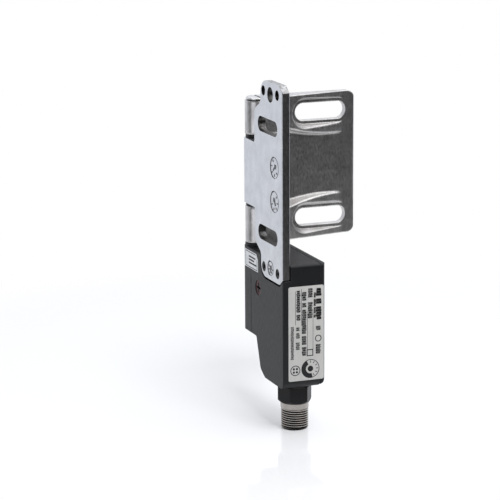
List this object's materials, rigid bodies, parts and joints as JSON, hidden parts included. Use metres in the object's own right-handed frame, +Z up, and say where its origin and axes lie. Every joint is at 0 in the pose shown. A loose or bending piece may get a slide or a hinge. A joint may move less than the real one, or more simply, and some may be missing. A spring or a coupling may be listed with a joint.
{
  "type": "safety hinge switch",
  "caption": "Door hinge with two slotted cast leaves on one pin, whose turn works a position switch in a black housing under the fixed leaf, with a round threaded plug connector.",
  "frame": {"origin": "middle of the fixed leaf's mounting face, half-way between its slots", "axes": "+X along the fixed leaf away from the pin, +Y from its mounting face to its front, +Z up along the pin"},
  "size_m": [0.051, 0.0525, 0.1509],
  "materials": {
    "cast_leaf": "fine blasted, semi-bright",
    "pin_steel": "turned bright",
    "bearing_plastic": "matte",
    "housing_plastic": "fine texture",
    "seal_rubber": "matte",
    "black_screw": "blackened",
    "adjuster_plastic": "matte",
    "hex_plastic": "matte",
    "nickel": "nickel plated",
    "inner_steel": "bright",
    "contact_brass": "bright",
    "carrier_plastic": "matte",
    "lead_cover": "matte"
  },
  "bodies": {
    "frame": {"fixed_leaf": "cast_leaf", "upper_flange_bush": "bearing_plastic", "lower_flange_bush": "bearing_plastic", "switch_housing": "housing_plastic", "housing_cover": "housing_plastic", "cover_gasket": "seal_rubber", "cover_screws": "black_screw", "ear_screws": "black_screw", "shaft_bush": "bearing_plastic", "shaft_seal": "seal_rubber", "guide_rods": "inner_steel", "collar_nut": "hex_plastic", "collar_seal": "seal_rubber", "connector_sleeve": "nickel", "connector_insert": "bearing_plastic", "contact_pins": "contact_brass", "lead_wires": "lead_cover"},
    "door": {"door_leaf": "cast_leaf", "hinge_pin": "pin_steel", "head_washer": "bearing_plastic", "switching_cam": "carrier_plastic"},
    "adjuster": {"adjuster_screw": "adjuster_plastic", "adjuster_clip": "inner_steel"},
    "carrier": {"contact_carrier": "carrier_plastic", "fixed_contacts": "contact_brass", "plunger_spring_a": "inner_steel", "plunger_spring_b": "inner_steel"},
    "push_a": {"plunger_a": "carrier_plastic", "contact_bridge_a": "contact_brass"},
    "push_b": {"plunger_b": "carrier_plastic", "contact_bridge_b": "contact_brass"}
  },
  "joints": [
    {"name": "hinge_swing", "type": "hinge", "parent": "frame", "child": "door", "pos_m": [-0.0274, 0.006, 0], "axis": [0, 0, 1], "range_deg": [-70, 180]},
    {"name": "adjuster_turn", "type": "hinge", "parent": "frame", "child": "adjuster", "pos_m": [-0.0121, 0.006, -0.0493], "axis": [0, 1, 0], "range_deg": [-180, 180]},
    {"name": "carrier_shift", "type": "slide", "parent": "frame", "child": "carrier", "axis": [0, 1, 0], "range_m": [-0.00035, 0.00035]},
    {"name": "plunger_a_press", "type": "slide", "parent": "carrier", "child": "push_a", "axis": [1, 0, 0], "range_m": [0, 0.001], "stiffness_N_per_m": 300, "deforming": ["plunger_spring_a"]},
    {"name": "plunger_b_press", "type": "slide", "parent": "carrier", "child": "push_b", "axis": [1, 0, 0], "range_m": [0, 0.001], "stiffness_N_per_m": 300, "deforming": ["plunger_spring_b"]}
  ],
  "couplings": [
    {"joint": "adjuster_turn", "follows": "carrier_shift", "rad_per_m": 8900}
  ]
}
